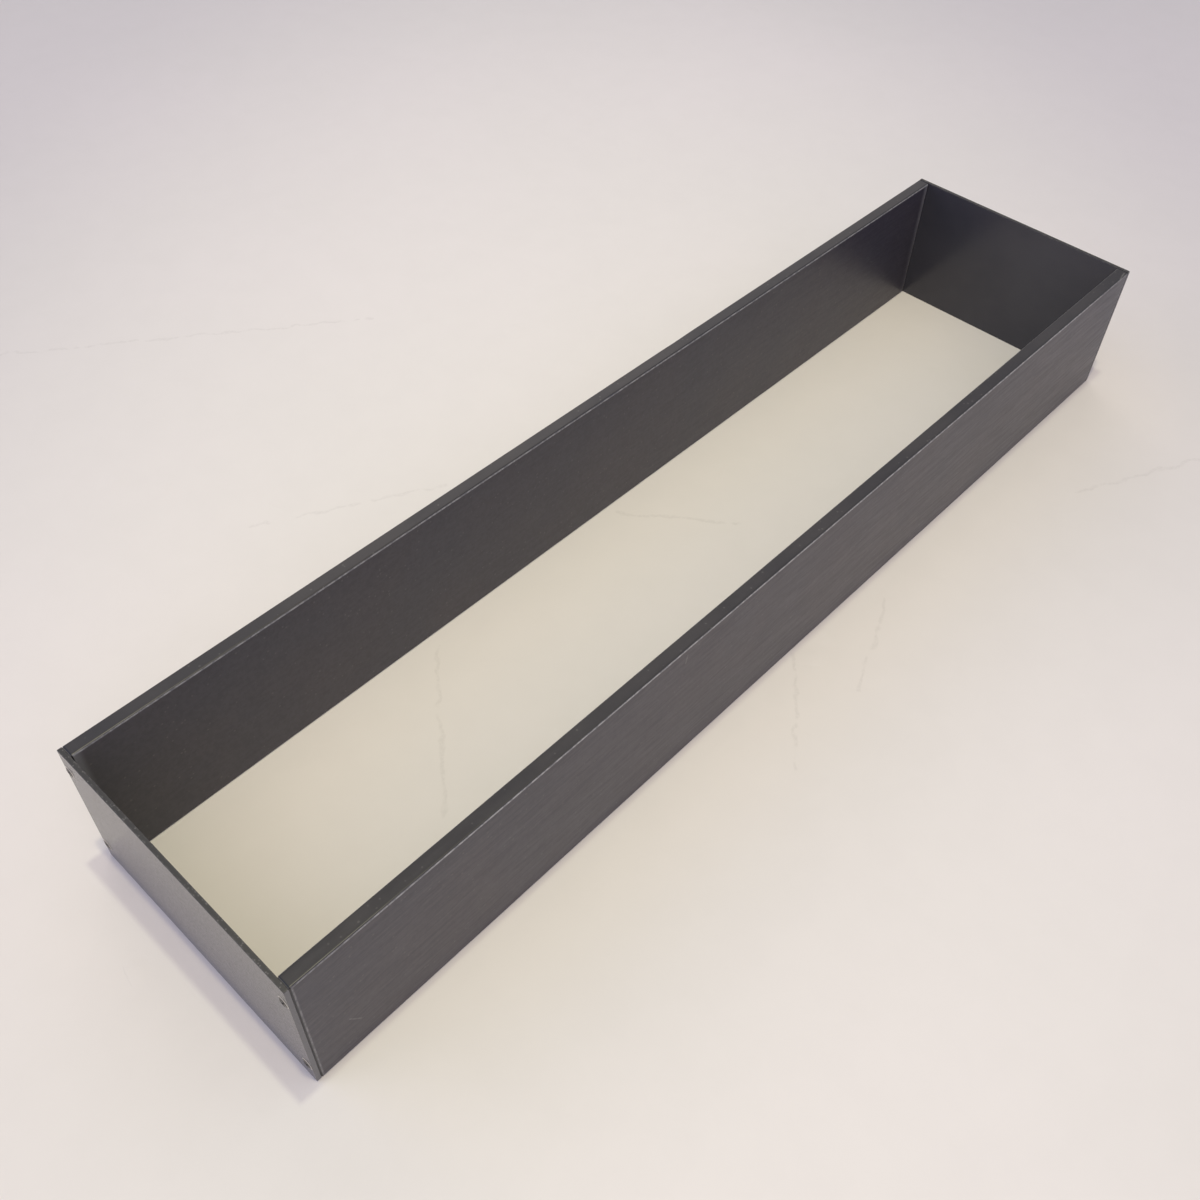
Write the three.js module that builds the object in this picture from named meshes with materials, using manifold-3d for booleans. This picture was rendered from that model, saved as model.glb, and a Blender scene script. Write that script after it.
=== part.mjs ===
// Narrow drawer organizer: two slim side panels held between two flat steel end plates by
// eight small screws. The frame has no base and stands on its lower edges.
// Millimetres. +X runs along the length from front to rear, +Z is up.
// The origin is at the centre of the resting plane.
import * as THREE from "three";
import { RoundedBoxGeometry } from "three/addons/geometries/RoundedBoxGeometry.js";
import Module from "manifold-3d";

// Overall size, over the outer faces of the plates and panels.
const LENGTH = 422;
const WIDTH = 100;
const HEIGHT = 55.5;

// Side panels.
const PANEL_THICKNESS = 4.8;
const PANEL_EDGE_RADIUS = 0.6;
const PANEL_EDGE_STEPS = 3;

// End plates.
const PLATE_THICKNESS = 1.5;
const PLATE_CORNER_RADIUS = 0.5;
const PLATE_CORNER_STEPS = 6;
const PLATE_ARRIS = 0.15;

// Raised countersunk screws. The head's rim lies in the plate's outer face.
const SCREW_LENGTH = 16;
const SCREW_SHANK_DIAMETER = 2.4;
const SCREW_TIP_LENGTH = 3;
const HEAD_DIAMETER = 4.4;
const HEAD_DOME_HEIGHT = 0.45;
const HEAD_DOME_STEPS = 4;
const HEAD_RIM_HEIGHT = 0.1;
const HEAD_CONE_ANGLE = 90;
const SCREW_FACETS = 28;

// Cross recess in the head.
const RECESS_SPAN = 2.5;
const RECESS_FLOOR_SPAN = 1.1;
const RECESS_SLOT_WIDTH = 0.5;
const RECESS_DEPTH = 0.9;

// Height of each screw from the nearer long edge of the plate.
const SCREW_FROM_EDGE = 8.5;

// Fits.
const HEAD_CLEARANCE = 0.03;
const SHANK_CLEARANCE = 0.05;
const PILOT_OVERRUN = 1.5;
const PILOT_POINT_ANGLE = 118;

const headRadius = HEAD_DIAMETER / 2;
const shankRadius = SCREW_SHANK_DIAMETER / 2;
const coneDepth = (headRadius - shankRadius) / Math.tan(THREE.MathUtils.degToRad(HEAD_CONE_ANGLE / 2));
const panelLength = LENGTH - 2 * PLATE_THICKNESS;
const panelMiddleY = WIDTH / 2 - PANEL_THICKNESS / 2;

const wasm = await Module();
wasm.setup();

const panelMaterial = new THREE.MeshStandardMaterial({ color: 0x413e3e, roughness: 0.45, metalness: 0 });
const plateMaterial = new THREE.MeshStandardMaterial({ color: 0x403e3f, roughness: 0.3, metalness: 0 });
const screwMaterial = new THREE.MeshStandardMaterial({ color: 0x5a5754, roughness: 0.3, metalness: 1 });

// A closed geometry as a solid that can be joined and cut.
function solid(geometry) {
  const positions = geometry.index ? geometry.toNonIndexed().getAttribute("position") : geometry.getAttribute("position");
  const keys = new Map();
  const vertices = [];
  const triangles = [];
  for (let i = 0; i < positions.count; i += 1) {
    const point = [positions.getX(i), positions.getY(i), positions.getZ(i)];
    const key = point.map((value) => Math.round(value * 1e4)).join(" ");
    if (!keys.has(key)) {
      keys.set(key, keys.size);
      vertices.push(...point);
    }
    triangles.push(keys.get(key));
  }
  const kept = [];
  for (let i = 0; i < triangles.length; i += 3) {
    const [a, b, c] = triangles.slice(i, i + 3);
    if (a !== b && b !== c && c !== a) {
      kept.push(a, b, c);
    }
  }
  const mesh = new wasm.Mesh({
    numProp: 3,
    vertProperties: new Float32Array(vertices),
    triVerts: new Uint32Array(kept),
  });
  return new wasm.Manifold(mesh);
}

// A solid as a named mesh.
function named(name, body, material) {
  const raw = body.getMesh();
  const positions = new Float32Array(raw.numVert * 3);
  for (let i = 0; i < raw.numVert; i += 1) {
    positions.set(raw.vertProperties.subarray(i * raw.numProp, i * raw.numProp + 3), i * 3);
  }
  const geometry = new THREE.BufferGeometry();
  geometry.setAttribute("position", new THREE.BufferAttribute(positions, 3));
  geometry.setIndex(new THREE.BufferAttribute(raw.triVerts, 1));
  const mesh = new THREE.Mesh(geometry.toNonIndexed(), material);
  mesh.geometry.computeVertexNormals();
  mesh.name = name;
  return mesh;
}

// A turned body about X: each point is a distance outwards along X and a radius.
function turned(profile, facets) {
  const points = profile.map(([along, radius]) => new THREE.Vector2(radius, along));
  return new THREE.LatheGeometry(points, facets).rotateZ(-Math.PI / 2);
}

// The screw, with its axis on X, its head towards +X and its rim at X = 0.
function screwBody() {
  const sphere = (HEAD_DOME_HEIGHT ** 2 + headRadius ** 2) / (2 * HEAD_DOME_HEIGHT);
  const half = Math.asin(headRadius / sphere);
  const profile = [[-SCREW_LENGTH, 0]];
  profile.push([SCREW_TIP_LENGTH - SCREW_LENGTH, shankRadius]);
  profile.push([-HEAD_RIM_HEIGHT - coneDepth, shankRadius]);
  profile.push([-HEAD_RIM_HEIGHT, headRadius]);
  for (let i = 0; i < HEAD_DOME_STEPS; i += 1) {
    const angle = half * (1 - i / HEAD_DOME_STEPS);
    profile.push([HEAD_DOME_HEIGHT - sphere * (1 - Math.cos(angle)), sphere * Math.sin(angle)]);
  }
  profile.push([HEAD_DOME_HEIGHT, 0]);
  return solid(turned(profile, SCREW_FACETS)).subtract(recessBody());
}

// The cross recess: two slots bounded by a cone that narrows towards the floor.
function recessBody() {
  const top = HEAD_DOME_HEIGHT + RECESS_SLOT_WIDTH;
  const floor = HEAD_DOME_HEIGHT - RECESS_DEPTH;
  const widening = (RECESS_SPAN - RECESS_FLOOR_SPAN) / RECESS_DEPTH;
  const mouth = RECESS_FLOOR_SPAN + widening * (top - floor);
  const cone = [[floor, 0], [floor, RECESS_FLOOR_SPAN / 2], [top, mouth / 2], [top, 0]];
  const slot = new THREE.BoxGeometry(2 * (top - floor), RECESS_SLOT_WIDTH, 2 * mouth);
  const cross = solid(slot).add(solid(slot.clone().rotateX(Math.PI / 2)));
  return solid(turned(cone, SCREW_FACETS)).intersect(cross.translate([floor, 0, 0]));
}

// What the screw's head and shank take out of the plate.
function seatBody() {
  const reach = PLATE_THICKNESS + PLATE_ARRIS;
  const bore = shankRadius + SHANK_CLEARANCE;
  const mouth = headRadius + HEAD_CLEARANCE;
  const profile = [[-reach, 0]];
  profile.push([-reach, bore]);
  profile.push([-HEAD_RIM_HEIGHT - mouth + bore, bore]);
  profile.push([-HEAD_RIM_HEIGHT, mouth]);
  profile.push([PLATE_ARRIS, mouth]);
  profile.push([PLATE_ARRIS, 0]);
  return solid(turned(profile, SCREW_FACETS));
}

// The drilled pilot hole behind the plate.
function pilotBody() {
  const bore = shankRadius + SHANK_CLEARANCE;
  const depth = SCREW_LENGTH + PILOT_OVERRUN;
  const point = bore / Math.tan(THREE.MathUtils.degToRad(PILOT_POINT_ANGLE / 2));
  const profile = [[-depth - point, 0], [-depth, bore], [0, bore], [0, 0]];
  return solid(turned(profile, SCREW_FACETS));
}

// The plate's blank, centred on X = 0 and standing on Z = 0, with every arris taken off.
function plateBlank() {
  const halfWidth = WIDTH / 2 - PLATE_ARRIS;
  const low = PLATE_ARRIS;
  const high = HEIGHT - PLATE_ARRIS;
  const corner = PLATE_CORNER_RADIUS - PLATE_ARRIS;
  const outline = new THREE.Shape();
  outline.moveTo(-halfWidth + corner, low);
  outline.lineTo(halfWidth - corner, low);
  outline.absarc(halfWidth - corner, low + corner, corner, -Math.PI / 2, 0, false);
  outline.lineTo(halfWidth, high - corner);
  outline.absarc(halfWidth - corner, high - corner, corner, 0, Math.PI / 2, false);
  outline.lineTo(-halfWidth + corner, high);
  outline.absarc(-halfWidth + corner, high - corner, corner, Math.PI / 2, Math.PI, false);
  outline.lineTo(-halfWidth, low + corner);
  outline.absarc(-halfWidth + corner, low + corner, corner, Math.PI, 1.5 * Math.PI, false);
  const geometry = new THREE.ExtrudeGeometry(outline, {
    depth: PLATE_THICKNESS - 2 * PLATE_ARRIS,
    bevelEnabled: true,
    bevelThickness: PLATE_ARRIS,
    bevelSize: PLATE_ARRIS,
    bevelSegments: 1,
    curveSegments: PLATE_CORNER_STEPS,
  });
  geometry.translate(0, 0, PLATE_ARRIS - PLATE_THICKNESS / 2);
  geometry.applyMatrix4(new THREE.Matrix4().makeBasis(
    new THREE.Vector3(0, 1, 0),
    new THREE.Vector3(0, 0, 1),
    new THREE.Vector3(1, 0, 0),
  ));
  return solid(geometry);
}

// A body made for the rear end, placed at one screw position of either end.
function atScrew(body, end, side, level) {
  const turnedRound = end > 0 ? body : body.rotate([0, 0, 180]);
  return turnedRound.translate([end * LENGTH / 2, side * panelMiddleY, level]);
}

const group = new THREE.Group();
group.name = "drawer_organizer";

const ends = [["front", -1], ["rear", 1]];
const sides = [["right", -1], ["left", 1]];
const levels = [["bottom", SCREW_FROM_EDGE], ["top", HEIGHT - SCREW_FROM_EDGE]];

for (const [sideName, side] of sides) {
  const blank = new RoundedBoxGeometry(panelLength, PANEL_THICKNESS, HEIGHT, PANEL_EDGE_STEPS, PANEL_EDGE_RADIUS);
  let panel = solid(blank).translate([0, side * panelMiddleY, HEIGHT / 2]);
  for (const [, end] of ends) {
    for (const [, level] of levels) {
      panel = panel.subtract(atScrew(pilotBody(), end, side, level));
    }
  }
  group.add(named("side_panel_" + sideName, panel, panelMaterial));
}

for (const [endName, end] of ends) {
  let plate = plateBlank().translate([end * (LENGTH - PLATE_THICKNESS) / 2, 0, 0]);
  for (const [sideName, side] of sides) {
    for (const [levelName, level] of levels) {
      plate = plate.subtract(atScrew(seatBody(), end, side, level));
      const name = ["screw", endName, sideName, levelName].join("_");
      group.add(named(name, atScrew(screwBody(), end, side, level), screwMaterial));
    }
  }
  group.add(named("end_plate_" + endName, plate, plateMaterial));
}

export default group;
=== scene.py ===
import math

import bmesh
import bpy
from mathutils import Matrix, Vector, noise


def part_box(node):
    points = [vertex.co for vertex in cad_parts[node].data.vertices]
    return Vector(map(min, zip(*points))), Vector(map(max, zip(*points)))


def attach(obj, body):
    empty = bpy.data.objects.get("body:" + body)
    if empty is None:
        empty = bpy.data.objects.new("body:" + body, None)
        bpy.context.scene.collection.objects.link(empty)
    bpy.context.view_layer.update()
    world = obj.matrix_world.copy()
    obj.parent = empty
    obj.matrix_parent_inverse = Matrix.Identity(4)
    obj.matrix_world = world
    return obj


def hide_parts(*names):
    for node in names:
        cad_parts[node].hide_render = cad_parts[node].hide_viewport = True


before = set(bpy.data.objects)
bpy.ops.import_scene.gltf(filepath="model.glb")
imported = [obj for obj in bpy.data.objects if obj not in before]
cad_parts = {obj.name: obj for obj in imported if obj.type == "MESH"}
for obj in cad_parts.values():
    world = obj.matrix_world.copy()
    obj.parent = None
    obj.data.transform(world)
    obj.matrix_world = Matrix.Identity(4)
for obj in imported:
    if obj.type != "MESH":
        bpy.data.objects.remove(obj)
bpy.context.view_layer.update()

# A long open drawer frame: two grained side panels between two painted sheet-steel end plates,
# held by eight raised countersunk screws. Metres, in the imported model's own frame. Colours are
# linear, a tone is a factor on a colour, and a band is the part of a value that a ramp covers.

# Side panels, with eased edges and small dents along them.
PANEL_EDGE_RADIUS = 0.0006
PANEL_EDGE_STEPS = 8
PANEL_ROWS_TALL = 10
PANEL_ROWS_FLAT = 2
PANEL_STATION = 0.001
PANEL_CREASE = math.radians(32)
DENT_DEPTH = 0.0001
DENT_LEAST_SHARE = 0.01
ROUGH_SCALE, ROUGH_OFFSET, ROUGH_SHARE = (240, 300, 90), (0, 7, 0), 0.25
KNOCK_SCALE, KNOCK_OFFSET, KNOCK_SHARE = (55, 300, 90), (3, 0, 11), 1.4
KNOCK_LEAST = 0.25

# Sheet of the end plates.
PLATE_CORNER_RADIUS = 0.0005
PLATE_CORNER_STEPS = 8
PLATE_ARRIS = 0.00015
PLATE_ARRIS_STEP = 0.3
PLATE_CREASE = math.radians(40)

# Raised countersunk screws, and the holes they sit in.
SCREW_LENGTH = 0.016
SCREW_SHANK_DIAMETER = 0.0024
SCREW_TIP_LENGTH = 0.003
SCREW_CREASE = math.radians(32)
SCREW_TURN_SEED = 5
SHANK_FACETS, SHANK_CAP_RINGS = 48, 6
SHANK_IN_HEAD = 0.0003
HEAD_DIAMETER = 0.0044
HEAD_DOME_HEIGHT = 0.00045
HEAD_DOME_TRIM = 0.00002
HEAD_RIM_HEIGHT = 0.0001
HEAD_FACETS, HEAD_CAP_RINGS = 64, 10
RECESS_SPAN = 0.0025
RECESS_FLOOR_SPAN = 0.0011
RECESS_SLOT_WIDTH = 0.0005
RECESS_DEPTH = 0.0009
RECESS_FACETS = 48
RECESS_ARM_REACH = 3.0
SCREW_FROM_EDGE = 0.0085
HEAD_CLEARANCE = 0.00003
SHANK_CLEARANCE = 0.00005
PILOT_OVERRUN = 0.0015
DRILL_POINT_SLOPE = 0.6
DRILL_POINT_RADIUS = 0.00005
CUTTER_OVERRUN = 0.001
CUTTER_FACETS = 48
FACE_TOLERANCE = 0.00001

# All pieces.
WELD_DISTANCE = 1e-7
FLAT_FACE_WEIGHT = 100
CORNERS = ((1, 1), (-1, 1), (-1, -1), (1, -1))

PANELS = ("side_panel_right", "side_panel_left")
PLATES = ("end_plate_front", "end_plate_rear")
SCREWS = [
    "_".join(("screw", end, side, level))
    for end in ("front", "rear")
    for side in ("right", "left")
    for level in ("bottom", "top")
]


# Node building blocks

def place(tree, kind, **settings):
    made = tree.nodes.new(kind)
    for name, value in settings.items():
        setattr(made, name, value)
    return made


def feed(tree, socket, value):
    if isinstance(value, bpy.types.NodeSocket):
        tree.links.new(value, socket)
    elif value is not None:
        socket.default_value = value


def reckon(tree, operation, *values, clamp=False):
    made = place(tree, "ShaderNodeMath", operation=operation, use_clamp=clamp)
    for socket, value in zip(made.inputs, values):
        feed(tree, socket, value)
    return made.outputs[0]


def plus(tree, first, second):
    return reckon(tree, "ADD", first, second)


def minus(tree, first, second):
    return reckon(tree, "SUBTRACT", first, second)


def times(tree, first, second):
    return reckon(tree, "MULTIPLY", first, second)


def over(tree, first, second):
    return reckon(tree, "DIVIDE", first, second)


def vectors(tree, operation, *values):
    made = place(tree, "ShaderNodeVectorMath", operation=operation)
    for socket, value in zip(made.inputs, values):
        feed(tree, socket, value)
    number = operation in ("LENGTH", "DOT_PRODUCT")
    return made.outputs["Value" if number else "Vector"]


def scaled(tree, vector, factor):
    made = place(tree, "ShaderNodeVectorMath", operation="SCALE")
    feed(tree, made.inputs[0], vector)
    feed(tree, made.inputs["Scale"], factor)
    return made.outputs["Vector"]


def parts_of(tree, vector):
    made = place(tree, "ShaderNodeSeparateXYZ")
    feed(tree, made.inputs[0], vector)
    return made.outputs


def from_parts(tree, x=None, y=None, z=None):
    made = place(tree, "ShaderNodeCombineXYZ")
    for socket, value in zip(made.inputs, (x, y, z)):
        feed(tree, socket, value)
    return made.outputs[0]


def ramp(tree, value, low, high, start=0.0, end=1.0):
    """From start to end as the value goes from low to high, eased at both."""
    made = place(tree, "ShaderNodeMapRange", interpolation_type="SMOOTHSTEP")
    names = ("Value", "From Min", "From Max", "To Min", "To Max")
    for name, setting in zip(names, (value, low, high, start, end)):
        feed(tree, made.inputs[name], setting)
    return made.outputs["Result"]


def tint(tree, share, first, second, blend="MIX"):
    made = place(tree, "ShaderNodeMix", data_type="RGBA", blend_type=blend, clamp_factor=True)
    for index, value in ((0, share), (6, first), (7, second)):
        feed(tree, made.inputs[index], value)
    return made.outputs[2]


def toned(tree, base, tone):
    return tint(tree, 1.0, base, tone, "MULTIPLY")


def blotched(tree, base, tone, mask):
    """The base, taken towards its toned self where the mask says."""
    return tint(tree, mask, base, toned(tree, base, tone))


def coated(tree, base, colour, mask, share=None):
    """The base under a colour where the mask says, up to the share."""
    if share is not None:
        mask = times(tree, mask, share)
    return tint(tree, mask, base, colour)


def cloudy(tree, vector, scale, detail=2.0, rough=0.5):
    made = place(tree, "ShaderNodeTexNoise")
    feed(tree, made.inputs["Vector"], vector)
    for name, value in (("Scale", scale), ("Detail", detail), ("Roughness", rough)):
        feed(tree, made.inputs[name], value)
    return made.outputs["Fac"]


def where(tree):
    return place(tree, "ShaderNodeTexCoord").outputs["Object"]


def facing_parts(tree):
    return parts_of(tree, place(tree, "ShaderNodeNewGeometry").outputs["True Normal"])


def shader_group(name, wanted, given):
    tree = bpy.data.node_groups.new(name, "ShaderNodeTree")
    for label, kind, default in wanted:
        socket = tree.interface.new_socket(name=label, in_out="INPUT", socket_type=kind)
        socket.default_value = default
    for label, kind in given:
        tree.interface.new_socket(name=label, in_out="OUTPUT", socket_type=kind)
    return tree, place(tree, "NodeGroupInput").outputs, place(tree, "NodeGroupOutput").inputs


def apply_effect(tree, effect, **values):
    made = place(tree, "ShaderNodeGroup", node_tree=effect)
    for name, value in values.items():
        feed(tree, made.inputs[name.replace("_", " ")], value)
    return made.outputs


# Effects shared by the finishes. The noise settings are scale, detail and roughness.

FLOAT, VECTOR = "NodeSocketFloat", "NodeSocketVector"

GRAIN_WAVE_NOISE, GRAIN_WAVE = (9.0, 1.0), (0.0, 0.0012, 0.0012)
GRAIN_TILT = 0.6
ROW_SPACING, ROW_SLIP = (0.0, 0.45, 0.45), 9.0
FIBRE_NOISE, PATCH_DETAIL, PATCH_ROUGHNESS = (1.0, 3.0, 0.62), 3.0, 0.55
PORE_STRETCH, PORE_OFFSET = (1.7, 0.9, 0.9), (7.3, 3.1, 5.9)
PORE_NOISE, PORE_BAND = (1.0, 1.5), (0.62, 0.74)
SPECK_RIM_BAND = (0.15, 0.45)
RUB_WANDER_SCALE = 120.0
RUB_BREAK_NOISE = (900.0, 2.0)
RUB_RIM_BAND, RUB_BREAK_BAND, RUB_BREAK_LEAST = (0.25, 1.0), (0.3, 0.6), 0.35


def build_edge_nearness():
    """How near a point is to an edge of a flat-sided piece, or of the piece that mirrors it."""
    tree, given, out = shader_group(
        "Nearness to an edge",
        [("Middle", VECTOR, (0, 0, 0)), ("Half Size", VECTOR, (1, 1, 1)), ("Reach", FLOAT, 0.001)],
        [("Nearness", FLOAT)],
    )
    mirrored = vectors(tree, "ABSOLUTE", where(tree))
    offset = vectors(tree, "ABSOLUTE", vectors(tree, "SUBTRACT", mirrored, given["Middle"]))
    x, y, z = parts_of(tree, vectors(tree, "SUBTRACT", given["Half Size"], offset))
    least, most = reckon(tree, "MINIMUM", x, y), reckon(tree, "MAXIMUM", x, y)
    second = reckon(tree, "MAXIMUM", least, reckon(tree, "MINIMUM", most, z))
    feed(tree, out["Nearness"], ramp(tree, second, 0.0, given["Reach"], 1.0, 0.0))
    return tree


def build_long_grain():
    """Short fine fibres that run along X, with sparse pores and slow cloudy patches."""
    tree, given, out = shader_group(
        "Long grain",
        [("Along", FLOAT, 60.0), ("Across", FLOAT, 1200.0), ("Patch", FLOAT, 30.0)],
        [("Fibre", FLOAT), ("Pore", FLOAT), ("Cloud", FLOAT)],
    )
    stretch = from_parts(tree, given["Along"], given["Across"], given["Across"])
    wave = vectors(tree, "MULTIPLY", cloudy(tree, where(tree), *GRAIN_WAVE_NOISE), GRAIN_WAVE)
    tilted = place(tree, "ShaderNodeVectorRotate", rotation_type="X_AXIS")
    feed(tree, tilted.inputs["Vector"], vectors(tree, "ADD", where(tree), wave))
    feed(tree, tilted.inputs["Angle"], GRAIN_TILT)
    drawn = vectors(tree, "MULTIPLY", tilted.outputs[0], stretch)
    row = cloudy(tree, vectors(tree, "MULTIPLY", drawn, ROW_SPACING), 1.0, 1.0)
    drawn = vectors(tree, "ADD", drawn, from_parts(tree, times(tree, row, ROW_SLIP)))
    feed(tree, out["Fibre"], cloudy(tree, drawn, *FIBRE_NOISE))
    strewn = vectors(tree, "ADD", vectors(tree, "MULTIPLY", drawn, PORE_STRETCH), PORE_OFFSET)
    feed(tree, out["Pore"], ramp(tree, cloudy(tree, strewn, *PORE_NOISE), *PORE_BAND))
    patches = cloudy(tree, where(tree), given["Patch"], PATCH_DETAIL, PATCH_ROUGHNESS)
    feed(tree, out["Cloud"], patches)
    return tree


def build_specks():
    """Scattered fine grains of dust or paint."""
    tree, given, out = shader_group(
        "Specks",
        [("Size", FLOAT, 0.0004), ("Share", FLOAT, 0.3)],
        [("Speck", FLOAT)],
    )
    cells = place(tree, "ShaderNodeTexVoronoi", voronoi_dimensions="3D", feature="F1")
    feed(tree, cells.inputs["Vector"], where(tree))
    feed(tree, cells.inputs["Scale"], over(tree, 1.0, given["Size"]))
    picked = place(tree, "ShaderNodeSeparateColor")
    feed(tree, picked.inputs[0], cells.outputs["Color"])
    chosen = reckon(tree, "LESS_THAN", picked.outputs[0], given["Share"])
    dot = ramp(tree, cells.outputs["Distance"], *SPECK_RIM_BAND, 1.0, 0.0)
    feed(tree, out["Speck"], times(tree, chosen, dot))
    return tree


def build_rub():
    """A short rubbed mark between two points, broken up along its length."""
    tree, given, out = shader_group(
        "Rub mark",
        [("From", VECTOR, (0, 0, 0)), ("To", VECTOR, (1, 0, 0)),
         ("Width", FLOAT, 0.0005), ("Wander", FLOAT, 0.0)],
        [("Mark", FLOAT)],
    )
    here = where(tree)
    drift = place(tree, "ShaderNodeTexNoise")
    feed(tree, drift.inputs["Vector"], here)
    feed(tree, drift.inputs["Scale"], RUB_WANDER_SCALE)
    shift = vectors(tree, "SUBTRACT", drift.outputs["Color"], (0.5, 0.5, 0.5))
    moved = vectors(tree, "ADD", here, scaled(tree, shift, given["Wander"]))
    reach = vectors(tree, "SUBTRACT", moved, given["From"])
    line = vectors(tree, "SUBTRACT", given["To"], given["From"])
    along = vectors(tree, "DOT_PRODUCT", reach, line)
    share = reckon(tree, "DIVIDE", along, vectors(tree, "DOT_PRODUCT", line, line), clamp=True)
    away = vectors(tree, "LENGTH", vectors(tree, "SUBTRACT", reach, scaled(tree, line, share)))
    body = ramp(tree, over(tree, away, given["Width"]), *RUB_RIM_BAND, 1.0, 0.0)
    patches = cloudy(tree, here, *RUB_BREAK_NOISE)
    broken = ramp(tree, patches, *RUB_BREAK_BAND, RUB_BREAK_LEAST, 1.0)
    feed(tree, out["Mark"], times(tree, body, broken))
    return tree


edge_nearness = build_edge_nearness()
long_grain = build_long_grain()
specks = build_specks()
rub_mark = build_rub()


def new_finish(name):
    finish = bpy.data.materials.new(name)
    finish.use_nodes = True
    tree = finish.node_tree
    tree.nodes.clear()
    surface = place(tree, "ShaderNodeBsdfPrincipled")
    end = place(tree, "ShaderNodeOutputMaterial")
    tree.links.new(surface.outputs[0], end.inputs["Surface"])
    return finish, tree, surface


def raise_height(tree, surface, height, depth):
    bump = place(tree, "ShaderNodeBump")
    feed(tree, bump.inputs["Height"], height)
    bump.inputs["Strength"].default_value = 1.0
    bump.inputs["Distance"].default_value = depth
    tree.links.new(bump.outputs[0], surface.inputs["Normal"])


def middle_and_half(name):
    """The middle of a piece and half its size, with the side that it stands on left out."""
    low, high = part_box(name)
    middle, half = (low + high) / 2, tuple((high - low) / 2)
    if half[0] > half[1]:
        return (0.0, abs(middle.y), middle.z), half
    return (abs(middle.x), 0.0, middle.z), half


# Finish of the side panels

COARSE_GRAIN = {"Along": 75.0, "Across": 620.0, "Patch": 26.0}
FINE_GRAIN = {"Along": 30.0, "Across": 1500.0, "Patch": 90.0}
FOIL_DARK, FOIL_LIGHT = (0.0498, 0.0463, 0.0575, 1), (0.0570, 0.0530, 0.0650, 1)
FOIL_CLOUD_TONE = (1.09, 1.03, 0.99, 1)
FOIL_SMUDGE_TONE = (0.93, 0.93, 0.95, 1)
FOIL_MOTTLE_NOISE, FOIL_MOTTLE_TONE = (650.0, 3.0, 0.6), (0.82, 0.82, 0.83, 1)
# Painted light and shade: the outer faces are toned lighter, the inner faces darker and bluer.
FOIL_INNER_SHADE_TONE, FOIL_OUTER_LIGHT_TONE = (0.98, 0.985, 1.06, 1), (1.10, 1.10, 1.11, 1)
# How much of the outer grain shows inside, and how far out a face counts as outer.
FOIL_INNER_SHARE, FOIL_OUTER_REACH = 0.12, 0.03
FIBRE_BAND, CLOUD_BAND, EVEN_BAND = (0.32, 0.7), (0.35, 0.7), (0.35, 0.65)
LIGHT_STREAK, LIGHT_STREAK_BAND, LIGHT_STREAK_SHARE = (0.085, 0.080, 0.093, 1), (0.54, 0.72), 0.38
DARK_STREAK, DARK_STREAK_BAND, DARK_STREAK_SHARE = (0.026, 0.024, 0.030, 1), (0.28, 0.46), 0.34
PORE_COLOUR, PORE_SHARE = (0.090, 0.086, 0.090, 1), 0.12
# Top and bottom faces, with painted shade: darker, and darkest at the rim.
FLAT_BAND = (0.6, 0.95)
TOP_SHADE_DARK, TOP_SHADE_LIGHT = (0.0315, 0.0300, 0.0300, 1), (0.0425, 0.0400, 0.0390, 1)
TOP_BAND, TOP_SHADE_SHARE = (0.40, 0.60), 0.75
TOP_RIM_SHADE, TOP_RIM_REACH = (0.027, 0.026, 0.026, 1), 0.0016
TOP_RIM_BAND, TOP_RIM_SHARE = (0.35, 0.75), 0.5
# Wear and painted highlight on the eased edges: chips, a line under the top face, and a line beside
# each end.
CHIP_NOISE, CHIP_BAND, CHIP_RANGE = (420.0, 3.0, 0.7), (0.38, 0.62), (0.42, 1.1)
WEAR_AND_HIGHLIGHT_INNER, WEAR_AND_HIGHLIGHT_OUTER = (0.330, 0.320, 0.318, 1), (0.390, 0.380, 0.372, 1)
WEAR_AND_HIGHLIGHT_TOP_BAND, WEAR_AND_HIGHLIGHT_SLOPE_BAND = (0.00060, 0.00080), (0.50, 0.78)
FAINT_END_REACH, FAINT_END_SHARE = 0.05, 0.46
WEAR_AND_HIGHLIGHT_END_BAND, WEAR_AND_HIGHLIGHT_END_SHARE = (0.00090, 0.00120), 0.42
# A painted highlight as a paler band down the inner face at each end, and painted shade in the
# joint with the plate.
PALE_END_HIGHLIGHT, PALE_END_BAND, PALE_END_INNER_BAND = (0.30, 0.30, 0.31, 1), (0.0012, 0.0038), (0.12, 0.5)
PALE_END_HEIGHTS, PALE_END_SHARES = (0.012, 0.056), (0.15, 0.5)
JOINT_SHADE, JOINT_BAND = (0.012, 0.012, 0.013, 1), (0.00046, 0.00060)
JOINT_RIM, JOINT_RIM_BAND = (0.14, 0.137, 0.137, 1), (0.00016, 0.00026)
RUBS = [
    ((-0.0635, -0.05, 0.0522), (-0.0641, -0.05, 0.0487)),
    ((-0.1972, -0.05, 0.0175), (-0.1940, -0.05, 0.0128)),
    ((0.2030, -0.0497, 0.0552), (0.2080, -0.0490, 0.0555)),
]
RUB_COLOUR, RUB_SHARE, RUB_WIDTH, RUB_WANDER = (0.24, 0.23, 0.22, 1), 0.5, 0.00045, 0.0009
FOIL_DUST, FOIL_DUST_SHARE = (0.20, 0.19, 0.18, 1), 0.25
FOIL_DUST_SIZE, FOIL_DUST_AMOUNT = 0.0011, 0.05
SHEEN_BAND, FOIL_ROUGHNESS, TOP_ROUGHNESS_CHANGE = (0.3, 0.7), (0.43, 0.35), -0.06
FOIL_RELIEF, FOIL_INNER_RELIEF = 0.000012, 0.35


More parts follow.
